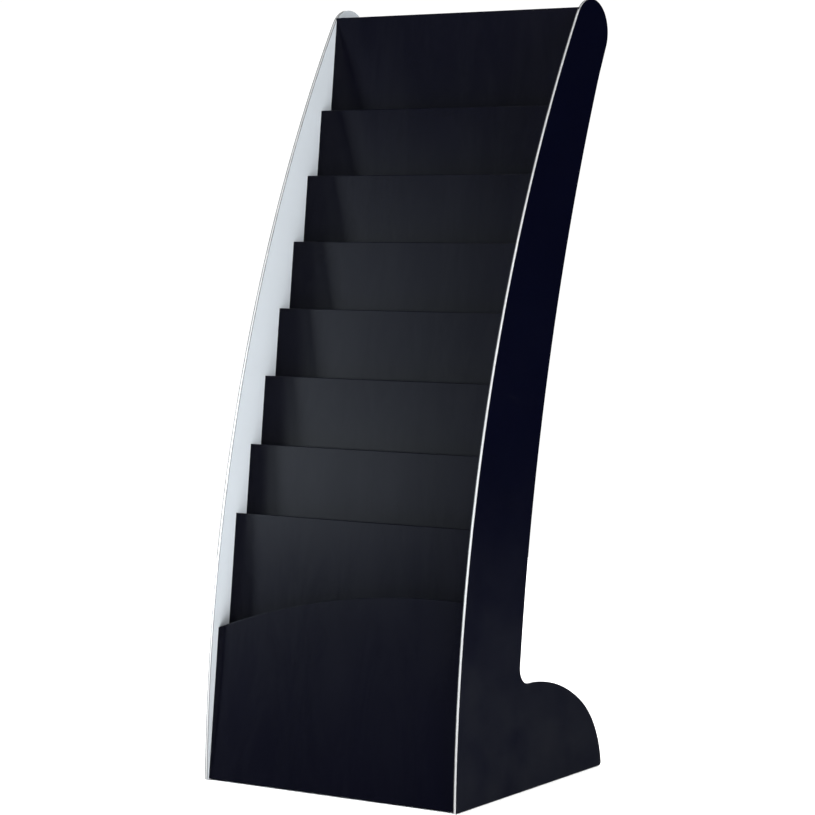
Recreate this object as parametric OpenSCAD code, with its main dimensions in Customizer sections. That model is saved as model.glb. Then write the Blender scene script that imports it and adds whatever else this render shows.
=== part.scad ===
// Floor-standing brochure rack with eight leaning pockets.
// Two curved side panels, each a silver board with a black skin on its outer face, carry flat
// sheets in grooves: a back panel, seven pocket fronts and an arched fascia. Narrow strips close
// the pockets below, steel rails tie the sides together, and a base panel stands on rubber pads.
// All heights are above the floor. Depths are measured from the front edge of the sides, and
// the finished rack is moved back to stand centred over the origin. Its front faces -Y.

/* [Side panels] */
// Width over both side panels
rack_w = 438; // [380:1:600]
// Thickness of each silver board
board_t = 4; // [3.5:0.5:8]
// Thickness of each black outer skin
skin_t = 1; // [0.5:0.5:2]
// Height of the side panels' rounded tops
rack_h = 1150; // [1148:0.5:1152]
// Rounding of the tops
tip_r = 47; // [46.5:0.5:48]
// Height at which the rear edge leaves its arc to run straight into a top's rounding
neck_z = 1040; // [1020:5:1050]
// Radius of the bulging front edge
front_r = 2245; // [2240:1:2250]
// Height of the front edge's centre, just below the floor
front_centre_z = -56; // [-58:1:-54]
// Radius of the hollow rear edge
back_r = 3025; // [3023:0.5:3027]
// How far the rear edge's centre lies behind the front edge
back_centre_y = 3180; // [3178:1:3181]
// Height of the rear edge's centre
back_centre_z = -149; // [-151:1:-147]

/* [Foot] */
// Depth of the foot's highest point
crest_y = 197; // [194:1:200]
// Height of the foot's highest point
crest_z = 156.5; // [150:0.5:162]
// Radius of the foot's top
crest_r = 273; // [268:1:280]
// Radius of the foot's rear
heel_r = 145; // [140:1:150]
// Depth that the foot's rear swells out to
heel_y = 414; // [412:0.5:416]
// Fillet between the rear edge and the foot
crotch_r = 24; // [18:1:28]
// Rounding of the foot's lower rear corner
heel_corner_r = 5; // [3:0.5:8]

/* [Pockets] */
// Number of pockets, the fascia's pocket included
pockets = 8; // [8:1:8]
// Lean of every sheet from the vertical, in degrees
lean = 6.6; // [6.4:0.1:6.8]
// Thickness of the sheets and of the pocket floors
sheet_t = 2.5; // [2:0.5:3]
// Depth of the first pocket front's top edge
first_top_y = 298.4; // [298:0.1:299]
// Height of the first pocket front's top edge
first_top_z = 992.3; // [991:0.1:993]
// Distance between two pocket fronts, measured across the sheets
step_out = 25.6; // [25.2:0.1:26]
// Drop from one pocket front to the next, measured along the sheets
step_down = 104; // [103:0.5:104.5]
// Height of a pocket's front above its floor
pocket_d = 190; // [150:1:192]
// Rise of the back panel's top above the first pocket front's top
back_rise = 148; // [140:1:150]
// Rise of the fascia's arch above the fascia's place in the row of fronts
arch_rise = 3; // [0:0.5:6]
// Radius of the arch
arch_r = 1070; // [1000:10:1400]
// Distance from the rack's middle to the arch's highest point
arch_x = 164; // [150:1:200]
// Depth of the grooves that hold the sheets
groove_d = 2; // [1:0.5:2]

/* [Base] */
// Height of the boards, skins and fascia above the floor
floor_gap = 1; // [0.5:0.5:2]
// Thickness of the rubber pads
pad_t = 4; // [3:0.5:6]
// Diameter of the rubber pads
pad_dia = 26; // [20:1:30]
// Thickness of the base panel
base_t = 12; // [9:1:18]
// Depth of the base panel's rear edge
base_back_y = 398; // [390:1:400]

/* [Rails and fixings] */
// Depth of a rail's section
rail_d = 25; // [22:1:26]
// Height of a rail's section
rail_h = 30; // [28:1:34]
// Thickness of the folded steel of rails and brackets
steel_t = 2; // [1.5:0.5:2.5]
// Height between the two screws in a rail's end
rail_hole_gap = 14; // [12:1:16]
// Length of a base bracket
bracket_l = 44; // [40:1:50]
// Length of each leg of a base bracket
bracket_leg = 30; // [26:1:32]
// Distance between the two screws in a bracket's leg
bracket_hole_gap = 24; // [20:1:28]
// Diameter of the machine screws
screw_dia = 5; // [4:1:5]
// Diameter of the threaded inserts in the boards
insert_dia = 7; // [6.5:0.5:8]
// Diameter of the wood screws in the base panel
wood_screw_dia = 4; // [3:0.5:4.5]

/* [Hidden] */
$fn = 96;

// Facets of the very large circles that draw the side panels
big_fn = 720;
// How far round corners run past the outline, as a factor and as a gap
past_touch = 1.1;
touch_gap = 0.01;
// Play around a screw or an insert in its hole
play = 0.1;

// Inner faces of the boards
inner_w = rack_w - 2 * (board_t + skin_t);
sheet_w = inner_w + 2 * groove_d;
sheet_len = step_down + pocket_d;

// Centres of the arcs that draw a side panel, as [depth, height]
front_c = [
    sqrt(front_r ^ 2 - (floor_gap - front_centre_z) ^ 2),
    front_centre_z
];
back_c = [back_centre_y, back_centre_z];
tip_c = [
    front_c.x - sqrt((front_r - tip_r) ^ 2 - (rack_h - tip_r - front_c.y) ^ 2),
    rack_h - tip_r
];
neck = [back_c.x - sqrt(back_r ^ 2 - (neck_z - back_c.y) ^ 2) - touch_gap, neck_z];
crest_c = [crest_y, crest_z - crest_r];
heel_c = [
    heel_y - heel_r,
    crest_c.y + sqrt((crest_r - heel_r) ^ 2 - (heel_y - heel_r - crest_y) ^ 2)
];
crotch_c = circles_meet(back_c, back_r - crotch_r, crest_c, crest_r + crotch_r);
heel_corner_c = [
    heel_c.x + sqrt((heel_r - heel_corner_r) ^ 2 - (floor_gap + heel_corner_r - heel_c.y) ^ 2),
    floor_gap + heel_corner_r
];

// Length of the straight stretch between the rear edge's arc and a top's rounding
neck_reach = sqrt(norm(neck - tip_c) ^ 2 - tip_r ^ 2);

// Overall depth
rack_d = tip_c.x + tip_r;

// Height of the fascia's place in the row of fronts, and its length from there to the floor
fascia_z = first_top_z - (pockets - 1) * (step_down * cos(lean) - step_out * sin(lean));
fascia_len = (fascia_z - 2 * floor_gap) / cos(lean) - sheet_t * tan(lean);

// Rails, as [depth, height] of the middle of each section
top_rail_at = [363, 1075];
middle_rail_at = [186, 460];
lower_rail_at = [138, 215];
heel_rail_at = [372, 40];
rails = [top_rail_at, middle_rail_at, lower_rail_at, heel_rail_at];

// Base panel
base_front_y = 12;
base_top_z = pad_t + base_t;
bracket_ys = [62, 318];
pad_ys = [34, 378];
pad_x = inner_w / 2 - 24;

// Screw heads
head_dia = 1.9 * screw_dia;
head_h = 0.52 * screw_dia;
screw_grip = 3;
wood_screw_l = 9;

// The point where two circles meet, on the right of the way from a to b
function circles_meet(a, ra, b, rb) =
    let (
        gap = norm(b - a),
        along = (ra ^ 2 - rb ^ 2 + gap ^ 2) / (2 * gap),
        across = sqrt(ra ^ 2 - along ^ 2),
        u = (b - a) / gap
    )
    a + along * u + across * [u.y, -u.x];

// The point at radius r from centre c, towards point p
function towards(c, p, r) = c + r * (p - c) / norm(p - c);

// Height of the arch in the fascia's leaning frame, at a distance x from the rack's middle
function arch_height(x) = arch_rise - arch_r + sqrt(arch_r ^ 2 - (x - arch_x) ^ 2);

// Side panel outline, drawn with depth as X and height as Y

module disc(c, r, facets = big_fn) {
    translate(c)
        circle(r = r, $fn = facets);
}

// What a round corner of centre c adds to a hollow corner, or takes off a sharp one. It runs a
// little past the two points where the round corner touches the outline.
module corner_piece(c, r, from, corner, to) {
    difference() {
        polygon([c, c + past_touch * (from - c), corner, c + past_touch * (to - c)]);
        disc(c, r + touch_gap, 360);
    }
}

module slope_2d() {
    front_touch = towards(front_c, tip_c, front_r);
    behind_tip = front_touch + 3.2 * (tip_c - front_touch);
    difference() {
        intersection() {
            disc(front_c, front_r);
            polygon([
                [-tip_r, floor_gap],
                [-tip_r, front_touch.y],
                front_touch,
                behind_tip,
                [behind_tip.x, floor_gap]
            ]);
        }
        disc(back_c, back_r);
    }
}

module foot_2d() {
    foot_join = towards(crest_c, heel_c, crest_r);
    inside_y = 150;
    difference() {
        union() {
            intersection() {
                disc(heel_c, heel_r, 360);
                translate([inside_y, floor_gap])
                    square([heel_y, crest_z]);
            }
            intersection() {
                disc(crest_c, crest_r, 360);
                polygon([
                    [inside_y, floor_gap],
                    [inside_y, crest_z + 1],
                    [foot_join.x, crest_z + 1],
                    foot_join,
                    heel_c + [0, floor_gap - heel_c.y]
                ]);
            }
        }
        corner_piece(
            heel_corner_c, heel_corner_r,
            heel_corner_c - [0, heel_corner_r],
            [heel_y + 1, floor_gap - 1],
            towards(heel_c, heel_corner_c, heel_r)
        );
    }
}

module side_2d() {
    inside_y = crotch_c.x - crotch_r - 4;
    slope_2d();
    disc(tip_c, tip_r, 360);
    polygon([neck, circles_meet(neck, neck_reach, tip_c, tip_r), tip_c, neck - [tip_r, 0]]);
    foot_2d();
    corner_piece(
        crotch_c, crotch_r,
        towards(back_c, crotch_c, back_r), [inside_y, crest_z - 8],
        towards(crest_c, crotch_c, crest_r)
    );
}

// Places

// Moves what is drawn with its front edge at Y = 0 to stand centred over the origin
module centred() {
    translate([0, -rack_d / 2, 0])
        children();
}

// Leaning frame of sheet k: X across, Y through the sheet, Z up along it, top edge at the origin.
// Sheet 0 is the back panel, and the last one is the fascia.
module on_sheet(k) {
    centred()
        translate([0, first_top_y, first_top_z])
        rotate([-lean, 0, 0])
        translate([0, (1 - k) * step_out, (1 - k) * step_down])
        children();
}

// A sheet from height z0 to z1 in its leaning frame
module sheet(z0, z1) {
    translate([-sheet_w / 2, 0, z0])
        cube([sheet_w, sheet_t, z1 - z0]);
}

// Repeats its children at every screw into the +X board, with Z pointing out of the rack
module at_board_screws() {
    for (rail = rails, dz = [-1, 1] * rail_hole_gap / 2)
        translate([inner_w / 2, rail.x, rail.y + dz])
            rotate([0, 90, 0])
            children();
    for (y = bracket_ys, dy = [-1, 1] * bracket_hole_gap / 2)
        translate([inner_w / 2, y + dy, base_top_z + 0.6 * bracket_leg])
            rotate([0, 90, 0])
            children();
}

// Repeats its children on both sides of the rack
module both_sides() {
    for (side = [0, 1])
        mirror([side, 0, 0])
            children();
}

// Side panels

module board_blank(x, t) {
    centred()
        translate([x, 0, 0])
        rotate([90, 0, 90])
        linear_extrude(t)
        side_2d();
}

module grooves() {
    on_sheet(0)
        sheet(-sheet_len, back_rise - step_down);
    for (k = [1 : pockets - 1])
        on_sheet(k)
            sheet(-sheet_len, 0);
    for (k = [1 : pockets])
        pocket_floor(k);
}

// side is 1 for the right board and -1 for the left one
module board(side) {
    color([0.80, 0.82, 0.84])
    difference() {
        board_blank(side > 0 ? inner_w / 2 : -inner_w / 2 - board_t, board_t);
        grooves();
        on_sheet(pockets)
            sheet(-fascia_len, arch_height(side * inner_w / 2));
        centred()
            mirror([side > 0 ? 0 : 1, 0, 0])
            at_board_screws()
            translate([0, 0, -1])
            cylinder(d = insert_dia + 2 * play, h = board_t + 2);
    }
}

module left_board() {
    board(-1);
}

module right_board() {
    board(1);
}

module left_skin() {
    color([0.06, 0.06, 0.10])
        board_blank(-rack_w / 2, skin_t);
}

module right_skin() {
    color([0.06, 0.06, 0.10])
        board_blank(rack_w / 2 - skin_t, skin_t);
}

// Sheets

module back_panel() {
    color([0.10, 0.10, 0.12])
    on_sheet(0)
        sheet(-sheet_len, back_rise - step_down);
}

module pocket_front(k) {
    color([0.16, 0.16, 0.18])
    on_sheet(k)
        sheet(-sheet_len, 0);
}

module fascia() {
    color([0.09, 0.09, 0.11])
    on_sheet(pockets)
        translate([0, sheet_t, 0])
        rotate([90, 0, 0])
        linear_extrude(sheet_t)
        intersection() {
            translate([-sheet_w / 2, -fascia_len])
                square([sheet_w, fascia_len + arch_rise]);
            disc([arch_x, arch_rise - arch_r], arch_r);
        }
}

// Strip under pocket k, from the sheet in front of it to the rear face of the sheet behind
module pocket_floor(k) {
    color([0.12, 0.12, 0.14])
    on_sheet(k)
        translate([-sheet_w / 2, sheet_t, -pocket_d - sheet_t])
        cube([sheet_w, step_out, sheet_t]);
}

// Rails and base

// Folded channel, open to the front, with an end plate at each side
module rail(at) {
    color([0.13, 0.13, 0.14])
    centred()
    translate([0, at.x, at.y])
    difference() {
        translate([-inner_w / 2, -rail_d / 2, -rail_h / 2])
            cube([inner_w, rail_d, rail_h]);
        translate([steel_t - inner_w / 2, -rail_d / 2 - 1, steel_t - rail_h / 2])
            cube([inner_w - 2 * steel_t, rail_d + 1 - steel_t, rail_h - 2 * steel_t]);
        for (dz = [-1, 1] * rail_hole_gap / 2)
            translate([-inner_w, 0, dz])
                rotate([0, 90, 0])
                cylinder(d = screw_dia + 2 * play, h = 2 * inner_w);
    }
}

module base_panel() {
    color([0.10, 0.10, 0.11])
    centred()
    difference() {
        translate([-inner_w / 2, base_front_y, pad_t])
            cube([inner_w, base_back_y - base_front_y, base_t]);
        at_base_screws()
            translate([0, 0, -wood_screw_l])
            cylinder(d = wood_screw_dia + 2 * play, h = wood_screw_l + 1);
    }
}

// Repeats its children where a wood screw enters the base panel's top
module at_base_screws() {
    for (side = [-1, 1], y = bracket_ys, dy = [-1, 1] * bracket_hole_gap / 2)
        translate([side * (inner_w / 2 - 0.6 * bracket_leg), y + dy, base_top_z])
            children();
}

module base_brackets() {
    color([0.13, 0.13, 0.14])
    centred()
    difference() {
        both_sides()
            for (y = bracket_ys)
                translate([inner_w / 2, y - bracket_l / 2, base_top_z])
                rotate([90, 0, 180])
                linear_extrude(bracket_l)
                polygon([
                    [0, 0],
                    [bracket_leg, 0],
                    [bracket_leg, steel_t],
                    [steel_t, steel_t],
                    [steel_t, bracket_leg],
                    [0, bracket_leg]
                ]);
        both_sides()
            at_board_screws()
            translate([0, 0, -steel_t - 1])
            cylinder(d = screw_dia + 2 * play, h = steel_t + 2);
        at_base_screws()
            translate([0, 0, -1])
            cylinder(d = wood_screw_dia + 2 * play, h = steel_t + 2);
    }
}

// Threaded sleeves pressed into the boards, hidden by the skins
module board_inserts() {
    color([0.72, 0.72, 0.70])
    centred()
    both_sides()
        at_board_screws()
        difference() {
            cylinder(d = insert_dia, h = board_t - 2 * play);
            translate([0, 0, -1])
                cylinder(d = screw_dia + 2 * play, h = board_t + 2);
        }
}

// Domed head with a hexagon socket, its underside at Z = 0
module button_head(d, h, socket) {
    dome_r = (d ^ 2 / 4 + h ^ 2) / (2 * h);
    difference() {
        intersection() {
            translate([0, 0, h - dome_r])
                sphere(r = dome_r);
            cylinder(d = d, h = h);
        }
        translate([0, 0, h / 2])
            cylinder(d = socket, h = h, $fn = 6);
    }
}

module screw(d, l, head_d, head_h) {
    translate([0, 0, -l])
        cylinder(d = d, h = l);
    button_head(head_d, head_h, 0.7 * d);
}

module board_screws() {
    color([0.25, 0.25, 0.26])
    centred()
    both_sides()
        at_board_screws()
        rotate([180, 0, 0])
        translate([0, 0, steel_t])
        screw(screw_dia, steel_t + screw_grip, head_dia, head_h);
}

module base_screws() {
    color([0.25, 0.25, 0.26])
    centred()
        at_base_screws()
        translate([0, 0, steel_t])
        screw(wood_screw_dia, steel_t + wood_screw_l - 1, 2 * wood_screw_dia, wood_screw_dia / 2);
}

module rubber_pads() {
    color([0.05, 0.05, 0.05])
    centred()
    both_sides()
        for (y = pad_ys)
            translate([pad_x, y, 0])
                cylinder(d = pad_dia, h = pad_t);
}

left_board();
left_skin();
right_board();
right_skin();
back_panel();
pocket_front(1);  // pocket_front_1
pocket_front(2);  // pocket_front_2
pocket_front(3);  // pocket_front_3
pocket_front(4);  // pocket_front_4
pocket_front(5);  // pocket_front_5
pocket_front(6);  // pocket_front_6
pocket_front(7);  // pocket_front_7
fascia();
pocket_floor(1);  // pocket_floor_1
pocket_floor(2);  // pocket_floor_2
pocket_floor(3);  // pocket_floor_3
pocket_floor(4);  // pocket_floor_4
pocket_floor(5);  // pocket_floor_5
pocket_floor(6);  // pocket_floor_6
pocket_floor(7);  // pocket_floor_7
pocket_floor(8);  // pocket_floor_8
rail(top_rail_at);  // top_rail
rail(middle_rail_at);  // middle_rail
rail(lower_rail_at);  // lower_rail
rail(heel_rail_at);  // heel_rail
base_panel();
base_brackets();
board_inserts();
board_screws();
base_screws();
rubber_pads();
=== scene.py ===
"""Looks of the brochure rack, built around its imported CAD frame. Everything is in metres."""

import math

import bmesh
import bpy
from mathutils import Matrix, Vector


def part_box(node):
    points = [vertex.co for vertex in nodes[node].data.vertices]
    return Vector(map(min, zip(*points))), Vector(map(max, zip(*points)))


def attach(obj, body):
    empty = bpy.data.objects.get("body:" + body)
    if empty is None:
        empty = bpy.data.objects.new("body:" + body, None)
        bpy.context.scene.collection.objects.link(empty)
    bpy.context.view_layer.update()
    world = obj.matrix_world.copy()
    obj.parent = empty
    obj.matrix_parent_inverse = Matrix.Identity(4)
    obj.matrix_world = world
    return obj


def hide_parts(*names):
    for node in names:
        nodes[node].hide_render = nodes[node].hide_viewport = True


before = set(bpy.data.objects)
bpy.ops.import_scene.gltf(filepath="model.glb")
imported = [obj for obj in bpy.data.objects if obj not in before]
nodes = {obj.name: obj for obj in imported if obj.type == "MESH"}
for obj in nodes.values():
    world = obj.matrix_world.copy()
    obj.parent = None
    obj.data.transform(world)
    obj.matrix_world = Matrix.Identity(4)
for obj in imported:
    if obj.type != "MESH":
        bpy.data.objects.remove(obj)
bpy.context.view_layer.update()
scene = bpy.context.scene


# ---------------------------------------------------------------- node helpers


class Shader:
    """A material whose nodes are added one call at a time."""

    def __init__(self, name):
        self.material = bpy.data.materials.new(name)
        self.material.use_nodes = True
        self.tree = self.material.node_tree
        self.bsdf = self.tree.nodes["Principled BSDF"]
        self.place = self.add("ShaderNodeTexCoord").outputs["Object"]

    def add(self, kind, **settings):
        node = self.tree.nodes.new(kind)
        for key, value in settings.items():
            setattr(node, key, value)
        return node

    def link(self, source, target):
        self.tree.links.new(source, target)

    def mapped(self, scale=(1, 1, 1), turn=(0, 0, 0)):
        """Object coordinates stretched and turned, for grain with a direction."""
        node = self.add("ShaderNodeMapping")
        node.inputs["Scale"].default_value = scale
        node.inputs["Rotation"].default_value = turn
        self.link(self.place, node.inputs["Vector"])
        return node.outputs["Vector"]

    def noise(self, scale, detail=3.0, rough=0.5, warp=0.0, at=None):
        node = self.add("ShaderNodeTexNoise")
        node.inputs["Scale"].default_value = scale
        node.inputs["Detail"].default_value = detail
        node.inputs["Roughness"].default_value = rough
        node.inputs["Distortion"].default_value = warp
        self.link(at or self.place, node.inputs["Vector"])
        return node.outputs["Fac"]

    def cells(self, scale):
        """Distance to the nearest of scattered points."""
        node = self.add("ShaderNodeTexVoronoi", feature="F1")
        node.inputs["Scale"].default_value = scale
        self.link(self.place, node.inputs["Vector"])
        return node.outputs["Distance"]

    def span(self, value, low, high, to_low=0.0, to_high=1.0, smooth=False):
        """Maps low..high to to_low..to_high, clamped."""
        node = self.add("ShaderNodeMapRange")
        node.interpolation_type = "SMOOTHSTEP" if smooth else "LINEAR"
        node.inputs["From Min"].default_value = low
        node.inputs["From Max"].default_value = high
        node.inputs["To Min"].default_value = to_low
        node.inputs["To Max"].default_value = to_high
        self.link(value, node.inputs["Value"])
        return node.outputs["Result"]

    def axis(self, vector, index):
        node = self.add("ShaderNodeSeparateXYZ")
        self.link(vector, node.inputs["Vector"])
        return node.outputs[index]

    def sum(self, kind, a, b):
        """One Math node; a and b are sockets or numbers."""
        node = self.add("ShaderNodeMath", operation=kind)
        for socket, value in zip(node.inputs, (a, b)):
            if isinstance(value, (int, float)):
                socket.default_value = value
            else:
                self.link(value, socket)
        return node.outputs["Value"]

    def mix(self, factor, a, b):
        """Colour mix; each argument is a socket or a plain value."""
        node = self.add("ShaderNodeMix", data_type="RGBA")
        for socket, value in (
            (node.inputs[0], factor),
            (node.inputs[6], a),
            (node.inputs[7], b),
        ):
            if isinstance(value, (tuple, float)):
                opaque = (*value, 1) if isinstance(value, tuple) else value
                socket.default_value = opaque
            else:
                self.link(value, socket)
        return node.outputs[2]

    def bump(self, height, distance, strength=1.0, under=None):
        node = self.add("ShaderNodeBump")
        node.inputs["Strength"].default_value = strength
        node.inputs["Distance"].default_value = distance
        self.link(height, node.inputs["Height"])
        if under is not None:
            self.link(under, node.inputs["Normal"])
        return node.outputs["Normal"]

    def finish(self, colour, rough, normal=None, **values):
        self.link(colour, self.bsdf.inputs["Base Color"])
        self.link(rough, self.bsdf.inputs["Roughness"])
        if normal is not None:
            self.link(normal, self.bsdf.inputs["Normal"])
        for key, value in values.items():
            self.bsdf.inputs[key.replace("_", " ")].default_value = value
        return self.material


# ---------------------------------------------------------------- materials

MM = 0.001
# Below this height the silver boards grow darker towards the floor, mixed toward this grey
LOW_DARK_TONE = (0.22, 0.215, 0.21)
LOW_DARK_TOP = 0.42
EDGE_BAND = (0.635, 0.625, 0.625)
# Dark line drawn on the board edges, next to the inner face
INNER_EDGE_LINE = (0.11, 0.106, 0.106)
INNER_LINE_FROM, INNER_LINE_TO = 1.1 * MM, 1.25 * MM
DUST_TOP = 0.55


def black_sheet():
    """Extruded black plastic sheet: satin, faintly wavy, with fine grain, wipe marks and dust."""
    s = Shader("black_sheet")
    grain = s.noise(2600, 2.0)
    waves = s.noise(9, 2.0, at=s.mapped((1, 1, 0.35)))
    wiped = s.noise(14, 4.0, 0.6, 0.6, at=s.mapped((1, 1, 0.22), (0, 0.5, 0)))
    cloud = s.span(s.noise(5, 3.0), 0.3, 0.7)
    tone = s.mix(cloud, (0.0012, 0.0012, 0.0047), (0.0019, 0.0019, 0.0058))
    specks = s.span(s.cells(420), 0.0, 0.13, 1.0, 0.0)
    dust = s.sum("MULTIPLY", specks, s.span(s.noise(60), 0.56, 0.66))
    tone = s.mix(s.sum("MULTIPLY", dust, 0.25), tone, (0.05, 0.05, 0.055))
    wiped = s.span(wiped, 0.3, 0.7, 0.25, 0.30)
    rough = s.sum("ADD", wiped, s.span(grain, 0.3, 0.7, -0.02, 0.02))
    normal = s.bump(waves, 0.0006, 0.5)
    normal = s.bump(grain, 0.00003, 0.6, normal)
    return s.finish(tone, rough, normal, Specular_IOR_Level=0.08)


def silver_board():
    """Pale silver laminate with a fine flake; its edges are banded, with a dark line drawn beside
    the inner face, and its tone darkens towards the bottom.
    """
    s = Shader("silver_board")
    flake = s.noise(2200, 2.0)
    cloud = s.noise(6, 3.0)
    rubs = s.noise(60, 4.0, 0.6, 0.4, at=s.mapped((1, 0.15, 1), (0.9, 0, 0)))
    tone = s.mix(s.span(cloud, 0.3, 0.7), (0.565, 0.61, 0.655), (0.605, 0.65, 0.695))
    tone = s.mix(s.span(flake, 0.35, 0.65), tone, (0.64, 0.685, 0.725))
    facing = s.sum("ABSOLUTE", s.axis(s.add("ShaderNodeTexCoord").outputs["Normal"], 0), 0)
    band_cloud = s.span(s.noise(90, 3.0), 0.3, 0.7)
    band = s.mix(band_cloud, EDGE_BAND, tuple(1.06 * c for c in EDGE_BAND))
    inner = abs(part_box("left_board")[1].x)
    aside = s.sum("ABSOLUTE", s.axis(s.place, 0), 0)
    # A dark line about 1.1 mm wide is drawn on the edge next to the inner face
    band = s.mix(s.span(aside, inner + INNER_LINE_FROM, inner + INNER_LINE_TO), INNER_EDGE_LINE, band)
    tone = s.mix(s.span(facing, 0.35, 0.6), band, tone)
    # Darker towards the bottom: up to 30 % toward a dark grey at the floor, in patches, fading out
    # by 0.42 m
    patchy_darkening = s.span(s.noise(22, 4.0), 0.25, 0.75, 0.6, 1.0)
    low = s.span(s.axis(s.place, 2), 0.0, LOW_DARK_TOP, 0.30, 0.0, smooth=True)
    tone = s.mix(s.sum("MULTIPLY", patchy_darkening, low), tone, LOW_DARK_TONE)
    rough = s.span(rubs, 0.3, 0.7, 0.34, 0.46)
    normal = s.bump(flake, 0.00002, 0.5)
    return s.finish(tone, rough, normal, Metallic=0.15, Specular_IOR_Level=0.4)


def black_skin():
    """Black laminate: satin grain, faint rub marks, and dust that thickens toward the floor."""
    s = Shader("black_skin")
    grain = s.noise(1900, 3.0)
    cloud = s.noise(4, 3.0)
    scuff = s.noise(34, 5.0, 0.65, 0.8, at=s.mapped((1, 0.3, 1), (0.5, 0, 0)))
    tone = s.mix(s.span(cloud, 0.3, 0.7), (0.0003, 0.0005, 0.0048), (0.0006, 0.0009, 0.0058))
    low = s.span(s.axis(s.place, 2), 0.0, DUST_TOP, 1.0, 0.0, smooth=True)
    dust = s.sum("MULTIPLY", low, s.span(s.noise(16, 4.0), 0.2, 0.8, 0.35, 1.0))
    tone = s.mix(dust, tone, (0.0080, 0.0088, 0.0120))
    tone = s.mix(s.span(scuff, 0.70, 0.85, 0.0, 0.12), tone, (0.02, 0.021, 0.026))
    scuffed = s.span(scuff, 0.3, 0.7, 0.42, 0.50)
    rough = s.sum("ADD", scuffed, s.span(grain, 0.3, 0.7, -0.03, 0.03))
    return s.finish(tone, rough, s.bump(grain, 0.00003, 0.6), Specular_IOR_Level=0.06)


def black_steel():
    """Powder-coated steel with orange peel."""
    s = Shader("black_steel")
    peel = s.noise(700, 2.0)
    tone = s.mix(s.span(s.noise(30), 0.3, 0.7), (0.010, 0.010, 0.012), (0.016, 0.016, 0.018))
    rough = s.span(peel, 0.3, 0.7, 0.42, 0.55)
    return s.finish(tone, rough, s.bump(peel, 0.0001, 0.7), Specular_IOR_Level=0.5)


def zinc_steel():
    """Zinc-plated steel: cloudy bright metal with turning marks."""
    s = Shader("zinc_steel")
    cloud = s.noise(240, 4.0)
    lines = s.noise(2500, 1.0, at=s.mapped((0.05, 1, 1)))
    tone = s.mix(s.span(cloud, 0.35, 0.65), (0.50, 0.51, 0.50), (0.66, 0.67, 0.68))
    rough = s.span(lines, 0.3, 0.7, 0.24, 0.42)
    return s.finish(tone, rough, s.bump(lines, 0.00002, 0.5), Metallic=1.0)


def base_laminate():
    """Black melamine-faced board with a pressed wood-pore texture."""
    s = Shader("base_laminate")
    pores = s.noise(420, 4.0, 0.6, at=s.mapped((0.05, 1, 1)))
    tone = s.mix(s.span(pores, 0.3, 0.7), (0.012, 0.011, 0.011), (0.024, 0.023, 0.023))
    rough = s.span(pores, 0.3, 0.7, 0.45, 0.62)
    return s.finish(tone, rough, s.bump(pores, 0.0002, 0.6), Specular_IOR_Level=0.4)


def pad_rubber():
    """Moulded rubber, chalky from the floor."""
    s = Shader("pad_rubber")
    mottle = s.noise(300, 4.0)
    tone = s.mix(s.span(mottle, 0.35, 0.65), (0.018, 0.018, 0.018), (0.035, 0.034, 0.033))
    rough = s.span(mottle, 0.3, 0.7, 0.75, 0.9)
    return s.finish(tone, rough, s.bump(mottle, 0.0002, 0.5), Specular_IOR_Level=0.3)


finishes = {
    "black_sheet": black_sheet(),
    "silver_board": silver_board(),
    "black_skin": black_skin(),
    "black_steel": black_steel(),
    "zinc_steel": zinc_steel(),
    "base_laminate": base_laminate(),
    "pad_rubber": pad_rubber(),
}

SLOT_OF = {
    "left_board": "silver_board",
    "right_board": "silver_board",
    "left_skin": "black_skin",
    "right_skin": "black_skin",
    "back_panel": "black_sheet",
    "fascia": "black_sheet",
    "pocket_front": "black_sheet",
    "pocket_floor": "black_sheet",
    "top_rail": "black_steel",
    "middle_rail": "black_steel",
    "lower_rail": "black_steel",
    "heel_rail": "black_steel",
    "base_brackets": "black_steel",
    "board_inserts": "zinc_steel",
    "board_screws": "zinc_steel",
    "base_screws": "zinc_steel",
    "base_panel": "base_laminate",
    "rubber_pads": "pad_rubber",
}


def slot_of(node):
    """The record's material slot of a CAD node; numbered nodes share one entry."""
    return SLOT_OF[node.rstrip("_0123456789")]


# ---------------------------------------------------------------- mesh helpers

WELD = 0.002 * MM
FACE_DEPTH = 0.02 * MM
CORNER_TURN = 0.35
LONG_CHORD = 0.12
SHARP_ANGLE = math.radians(40)


def perimeter(loop):
    return sum((p - q).length for p, q in zip(loop, loop[1:] + loop[:1]))


def outline(node, direction):
    """The outer loop of a CAD node's flat face that lies furthest along a direction."""
    bm = bmesh.new()
    bm.from_mesh(nodes[node].data)
    bmesh.ops.remove_doubles(bm, verts=bm.verts, dist=WELD)
    bm.verts.index_update()
    bm.faces.index_update()
    reach = max(v.co.dot(direction) for v in bm.verts)
    edge = reach - FACE_DEPTH
    flat = [f for f in bm.faces if all(v.co.dot(direction) > edge for v in f.verts)]
    inside = {f.index for f in flat}
    after = {}
    for face in flat:
        for side in face.loops:
            if sum(f.index in inside for f in side.edge.link_faces) == 1:
                after[side.vert.index] = (side.vert.co.copy(), side.link_loop_next.vert.index)
    bm.free()
    loops = []
    while after:
        loop, at = [], next(iter(after))
        while at in after:
            point, at = after.pop(at)
            loop.append(point)
        loops.append(loop)
    return max(loops, key=perimeter)


def curvature(a, b, c):
    """Signed curvature of the circle through three 2D points."""
    cross = (b - a).cross(c - b)
    return 2 * cross / max((b - a).length * (c - b).length * (c - a).length, 1e-12)


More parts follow.
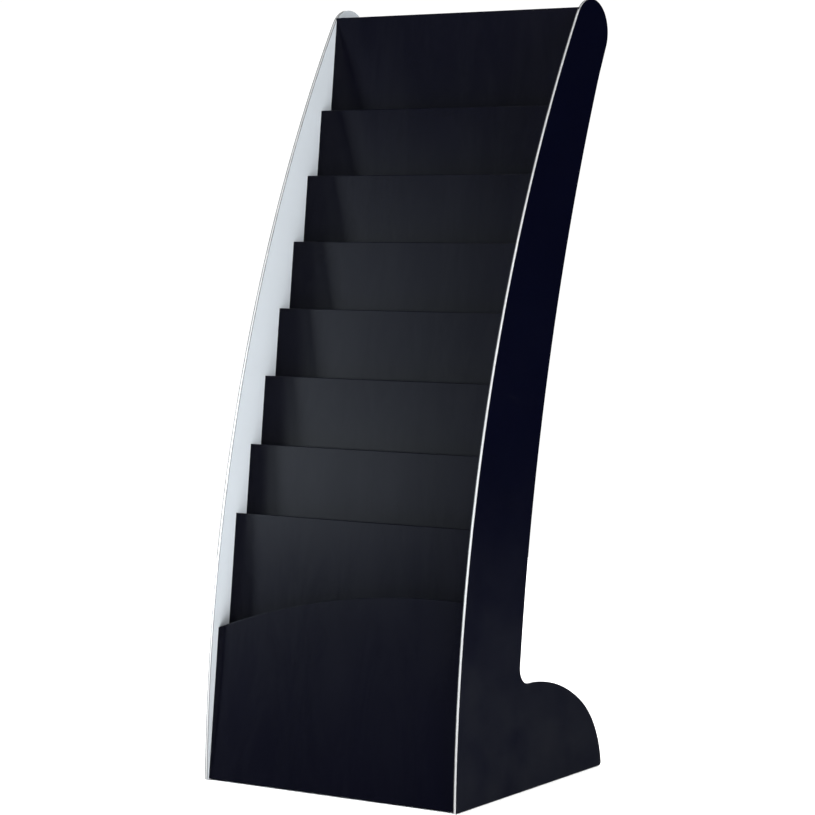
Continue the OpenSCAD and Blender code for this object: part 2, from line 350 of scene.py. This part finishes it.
def smoothed(loop, step):
    """Adds points on the arcs that a tessellated 2D outline stands for, and leaves its corners."""
    count, fine = len(loop), []
    for i, b in enumerate(loop):
        a, c, d = loop[i - 1], loop[(i + 1) % count], loop[(i + 2) % count]
        chord = c - b
        before = abs((b - a).angle_signed(chord)) < CORNER_TURN
        after = abs(chord.angle_signed(d - c)) < CORNER_TURN
        bends = [curvature(*t) for t, ok in (((a, b, c), before), ((b, c, d), after)) if ok]
        bend = min(bends, key=abs) if bends and min(bends) * max(bends) > 0 else 0
        if len(bends) < 2 and chord.length > LONG_CHORD:
            bend = 0
        fine.append(b)
        parts = max(1, round(chord.length / step)) if bend else 1
        side = Vector((chord.y, -chord.x)).normalized()
        for k in range(1, parts):
            t = k / parts
            rise = bend * chord.length_squared * t * (1 - t) / 2
            fine.append(b + chord * t + side * rise)
    return fine


def plate(name, loops, frame_matrix, thickness, edge):
    """A flat plate with rounded edges from 2D loops, placed by a matrix at mid thickness."""
    curve = bpy.data.curves.new(name, "CURVE")
    curve.dimensions = "2D"
    curve.fill_mode = "BOTH"
    curve.extrude = thickness / 2 - edge
    curve.bevel_depth = edge
    curve.bevel_resolution = 3
    curve.offset = -edge
    for loop in loops:
        spline = curve.splines.new("POLY")
        spline.points.add(len(loop) - 1)
        spline.use_cyclic_u = True
        for point, at in zip(spline.points, loop):
            point.co = (at.x, at.y, 0, 1)
    drawn = bpy.data.objects.new(name, curve)
    scene.collection.objects.link(drawn)
    graph = bpy.context.evaluated_depsgraph_get()
    mesh = bpy.data.meshes.new_from_object(drawn.evaluated_get(graph))
    bpy.data.objects.remove(drawn)
    bpy.data.curves.remove(curve)
    mesh.name = name
    mesh.transform(frame_matrix)
    return mesh


def tidy_mesh(mesh):
    """Welds, turns every face outward, and shades smooth except at corners."""
    bm = bmesh.new()
    bm.from_mesh(mesh)
    bmesh.ops.remove_doubles(bm, verts=bm.verts, dist=WELD)
    bmesh.ops.recalc_face_normals(bm, faces=bm.faces)
    for face in bm.faces:
        face.smooth = True
    bm.to_mesh(mesh)
    bm.free()
    mesh.set_sharp_from_angle(angle=SHARP_ANGLE)


def add_piece(mesh, node):
    """Links a mesh as the piece that stands for a CAD node."""
    slot = slot_of(node)
    tidy_mesh(mesh)
    mesh.materials.append(finishes[slot])
    piece = bpy.data.objects.new(mesh.name, mesh)
    scene.collection.objects.link(piece)
    normals = piece.modifiers.new("flat_faces", "WEIGHTED_NORMAL")
    normals.keep_sharp = True
    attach(piece, "root")
    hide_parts(node)
    return piece


def plate_for(node, direction, edge, step=0):
    """Rebuilds a flat CAD node as a plate with rounded edges; step smooths its curves."""
    n = Vector(direction).normalized()
    loop = outline(node, n)
    u = Vector((0, 0, 1)).cross(n)
    u = u.normalized() if u.length > 0.5 else Vector((1, 0, 0))
    v = n.cross(u)
    depths = [x.co.dot(n) for x in nodes[node].data.vertices]
    reach, thickness = max(depths), max(depths) - min(depths)
    flat = [Vector((p.dot(u), p.dot(v))) for p in loop]
    if step:
        low = [min(p[i] for p in flat) for i in (0, 1)]
        high = [max(p[i] for p in flat) for i in (0, 1)]
        flat = [
            Vector([min(max(p[i], low[i]), high[i]) for i in (0, 1)])
            for p in smoothed(flat, step)
        ]
    place = Matrix((u, v, n)).transposed().to_4x4()
    place.translation = n * (reach - thickness / 2)
    return add_piece(plate(node + "_shaped", [flat], place, thickness, edge), node)


# ---------------------------------------------------------------- sheets and skins

SHEET_EDGE = 1.0 * MM
THIN_EDGE = 0.3 * MM
LEAN = math.radians(6.6)
SHEET_FRONT = Vector((0, -math.cos(LEAN), math.sin(LEAN)))
FLOOR_TOP = Vector((0, math.sin(LEAN), math.cos(LEAN)))

plate_for("back_panel", SHEET_FRONT, SHEET_EDGE)
plate_for("fascia", SHEET_FRONT, SHEET_EDGE, step=6 * MM)
for k in range(1, 8):
    plate_for(f"pocket_front_{k}", SHEET_FRONT, SHEET_EDGE)
for k in range(1, 9):
    plate_for(f"pocket_floor_{k}", FLOOR_TOP, THIN_EDGE)
plate_for("left_skin", (-1, 0, 0), THIN_EDGE, step=4 * MM)
plate_for("right_skin", (1, 0, 0), THIN_EDGE, step=4 * MM)

# ---------------------------------------------------------------- rails


STEEL = 2 * MM
FOLD = 3.2 * MM
CORNER = 1 * MM
HOLE = 2.6 * MM
HOLE_UP = 7 * MM


def arc(centre, radius, start, end, parts=8):
    """Points on an arc, with its angles in degrees."""
    for i in range(parts + 1):
        turn = math.radians(start + (end - start) * i / parts)
        yield Vector((centre[0] + radius * math.cos(turn), centre[1] + radius * math.sin(turn)))


def folded_rail(node):
    """Channel folded from sheet steel, open to the front, with a welded end plate at each side."""
    low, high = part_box(node)
    mid = (low + high) / 2
    half_w, half_d, half_h = (high - low) / 2
    upper = (half_d - FOLD, half_h - FOLD)
    lower = (upper[0], -upper[1])
    outside = [*arc(upper, FOLD, 90, 0), *arc(lower, FOLD, 0, -90)]
    inside = [*arc(lower, FOLD - STEEL, -90, 0), *arc(upper, FOLD - STEEL, 0, 90)]
    profile = [Vector((-half_d, half_h)), *outside, Vector((-half_d, -half_h))]
    profile += [Vector((-half_d, STEEL - half_h)), *inside, Vector((-half_d, half_h - STEEL))]
    along = Matrix(((0, 0, 1), (1, 0, 0), (0, 1, 0))).to_4x4()
    along.translation = mid
    mesh = plate(node + "_shaped", [profile], along, 2 * half_w - STEEL, THIN_EDGE)
    end = list(outside)
    end += arc((CORNER - half_d, CORNER - half_h), CORNER, -90, -180)
    end += arc((CORNER - half_d, half_h - CORNER), CORNER, 180, 90)
    holes = [list(arc((0, dz), HOLE, 0, 345, 23)) for dz in (-HOLE_UP, HOLE_UP)]
    bm = bmesh.new()
    bm.from_mesh(mesh)
    for side in (-1, 1):
        place = along.copy()
        place.translation = mid + Vector((side * (half_w - STEEL / 2), 0, 0))
        extra = plate("end", [end, *holes], place, STEEL, THIN_EDGE)
        bm.from_mesh(extra)
        bpy.data.meshes.remove(extra)
    bm.to_mesh(mesh)
    bm.free()
    return add_piece(mesh, node)


for name in ("top_rail", "middle_rail", "lower_rail", "heel_rail"):
    folded_rail(name)

# ---------------------------------------------------------------- rubber pads


def turned(name, profile, centre, sides=64):
    """A turned solid from (radius, height) points, closed on its axis."""
    bm = bmesh.new()
    rings = []
    for radius, height in profile:
        spots = 1 if radius == 0 else sides
        rings.append([
            bm.verts.new((
                centre[0] + radius * math.cos(math.tau * i / sides),
                centre[1] + radius * math.sin(math.tau * i / sides),
                centre[2] + height,
            ))
            for i in range(spots)
        ])
    for a, b in zip(rings, rings[1:]):
        for i in range(sides):
            j = (i + 1) % sides
            corners = [a[i % len(a)], a[j % len(a)], b[j % len(b)], b[i % len(b)]]
            bm.faces.new(list(dict.fromkeys(corners)))
    mesh = bpy.data.meshes.new(name)
    bm.to_mesh(mesh)
    bm.free()
    return mesh


PAD_RADIUS = 13.0
PAD_GROOVES = (3.6, 6.2, 8.8)
PAD_GROOVE_DEPTH = 0.45


def rubber_pads():
    """Four turned pads with ring grooves below, a rounded foot and a slight taper."""
    low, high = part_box("rubber_pads")
    r, h = PAD_RADIUS, (high.z - low.z) / MM
    profile = [(0, 0), (3.2, 0)]
    for groove in PAD_GROOVES:
        profile += [
            (groove, 0),
            (groove + 0.3, PAD_GROOVE_DEPTH),
            (groove + 0.9, PAD_GROOVE_DEPTH),
            (groove + 1.2, 0),
        ]
    profile += [(r - 1.6, 0), (r - 1.0, 0.12), (r - 0.6, 0.45), (r - 0.4, 0.9)]
    profile += [(r - 0.08, h - 0.5), (r, h - 0.3), (r - 0.1, h), (0, h)]
    profile = [(x * MM, z * MM) for x, z in profile]
    for across, x in (("left", low.x + r * MM), ("right", high.x - r * MM)):
        for place, y in (("front", low.y + r * MM), ("rear", high.y - r * MM)):
            mesh = turned(f"rubber_pad_{place}_{across}", profile, (x, y, low.z))
            add_piece(mesh, "rubber_pads")


rubber_pads()

# ---------------------------------------------------------------- CAD nodes that stay

BEVEL_ANGLE = math.radians(50)

# Bevel width in millimetres
EDGE_OF = {
    "left_board": 0.35,
    "right_board": 0.35,
    "base_panel": 0.6,
    "base_brackets": 0.5,
    "board_screws": 0,
    "base_screws": 0,
    "board_inserts": 0,
}

for name, edge in EDGE_OF.items():
    piece = nodes[name]
    piece.data.materials.clear()
    piece.data.materials.append(finishes[slot_of(name)])
    if edge:
        weld = piece.modifiers.new("weld", "WELD")
        weld.merge_threshold = WELD
        bevel = piece.modifiers.new("edges", "BEVEL")
        bevel.width = edge * MM
        bevel.segments = 3
        bevel.limit_method = "ANGLE"
        bevel.angle_limit = BEVEL_ANGLE
        bevel.harden_normals = True

# ---------------------------------------------------------------- studio


MIDDLE = (0, -0.05, 0.6)
UNDER_TOP = (0, 0.3, 0)
WHITE = (1.0, 1.0, 1.0)
COOL = (0.90, 1.0, 1.05)

# name, place, aim, size, radiance, colour
LAMPS = (
    ("key_high", (-2.4, -1.9, 1.10), MIDDLE, (0.6, 0.14), 152, COOL),
    ("key_low", (-2.4, -1.9, 0.50), MIDDLE, (0.6, 0.14), 73, COOL),
    ("key_middle", (-1.5, -2.2, 0.90), MIDDLE, (0.5, 0.14), 6.4, COOL),
    ("key_near_low", (-0.9, -1.3, 0.58), MIDDLE, (0.4, 0.20), 6.8, COOL),
    ("key_near_high", (-0.9, -1.3, 1.08), MIDDLE, (0.4, 0.36), 1.7, COOL),
    ("fill_right", (3.6, -0.9, 1.0), MIDDLE, (1.2, 1.6), 25.3, WHITE),
    ("high_front", (-0.6, -2.2, 2.4), (0, -0.05, 1.0), (0.8, 0.8), 8, WHITE),
    ("top", (0, 0.3, 5.0), UNDER_TOP, (6, 6), 0.3, WHITE),
    ("rear", (-1.3, 3.4, 1.9), (0, 0, 0.5), (2.0, 1.6), 6, WHITE),
    ("floor_top", (0, 0.3, 4.0), UNDER_TOP, (11, 11), 2.4, WHITE),
)
FLOOR_RADIUS = 2.6
FLOOR_TONES = ((0.90, 0.90, 0.90), (0.92, 0.92, 0.92))
ROOM_LIGHT = (0.02, 0.021, 0.025, 1)
BACKDROP = (1.05, 1.05, 1.05, 1)


def area_light(name, at, aim, size, radiance, colour):
    data = bpy.data.lights.new(name, "AREA")
    data.shape = "RECTANGLE"
    data.size, data.size_y = size
    data.energy = radiance * math.pi * size[0] * size[1]
    data.color = colour
    lamp = bpy.data.objects.new(name, data)
    scene.collection.objects.link(lamp)
    lamp.location = at
    lamp.rotation_euler = (Vector(aim) - Vector(at)).to_track_quat("-Z", "Y").to_euler()
    return lamp


def floor():
    """A plain pale disc for the floor of the stage."""
    mesh = bpy.data.meshes.new("studio_floor")
    bm = bmesh.new()
    bmesh.ops.create_circle(bm, cap_ends=True, segments=128, radius=FLOOR_RADIUS)
    bm.to_mesh(mesh)
    bm.free()
    piece = bpy.data.objects.new("studio_floor", mesh)
    scene.collection.objects.link(piece)
    s = Shader("studio_floor")
    speck = s.noise(3, 3.0)
    tone = s.mix(s.span(speck, 0.3, 0.7), *FLOOR_TONES)
    rough = s.span(speck, 0, 1, 0.7, 0.8)
    mesh.materials.append(s.finish(tone, rough, Specular_IOR_Level=0.1))
    piece.visible_glossy = False
    return piece


def room():
    """A white backdrop for the camera over a dim, even room light."""
    world = bpy.data.worlds.new("studio")
    scene.world = world
    world.use_nodes = True
    tree = world.node_tree
    path = tree.nodes.new("ShaderNodeLightPath")
    blend = tree.nodes.new("ShaderNodeMix")
    blend.data_type = "RGBA"
    tree.links.new(path.outputs["Is Camera Ray"], blend.inputs["Factor"])
    blend.inputs[6].default_value = ROOM_LIGHT
    blend.inputs[7].default_value = BACKDROP
    tree.links.new(blend.outputs[2], tree.nodes["Background"].inputs["Color"])


studio_floor = floor()
room()
for lamp in LAMPS:
    area_light(*lamp)

# The last lamp lights the floor only, so the rack's upward faces stay as dark as they should be
floor_only = bpy.data.collections.new("floor_only")
floor_only.objects.link(studio_floor)
bpy.data.objects["floor_top"].light_linking.receiver_collection = floor_only

scene.view_settings.view_transform = "Standard"

# ---------------------------------------------------------------- camera

eye = bpy.data.cameras.new("camera")
eye.sensor_width = 36.0
eye.lens = 122.1
camera = bpy.data.objects.new("camera", eye)
scene.collection.objects.link(camera)
camera.location = (2.2308, -3.4298, 0.8356)
camera.rotation_euler = (math.radians(90 - 4.033), 0, math.radians(33.036))
scene.camera = camera
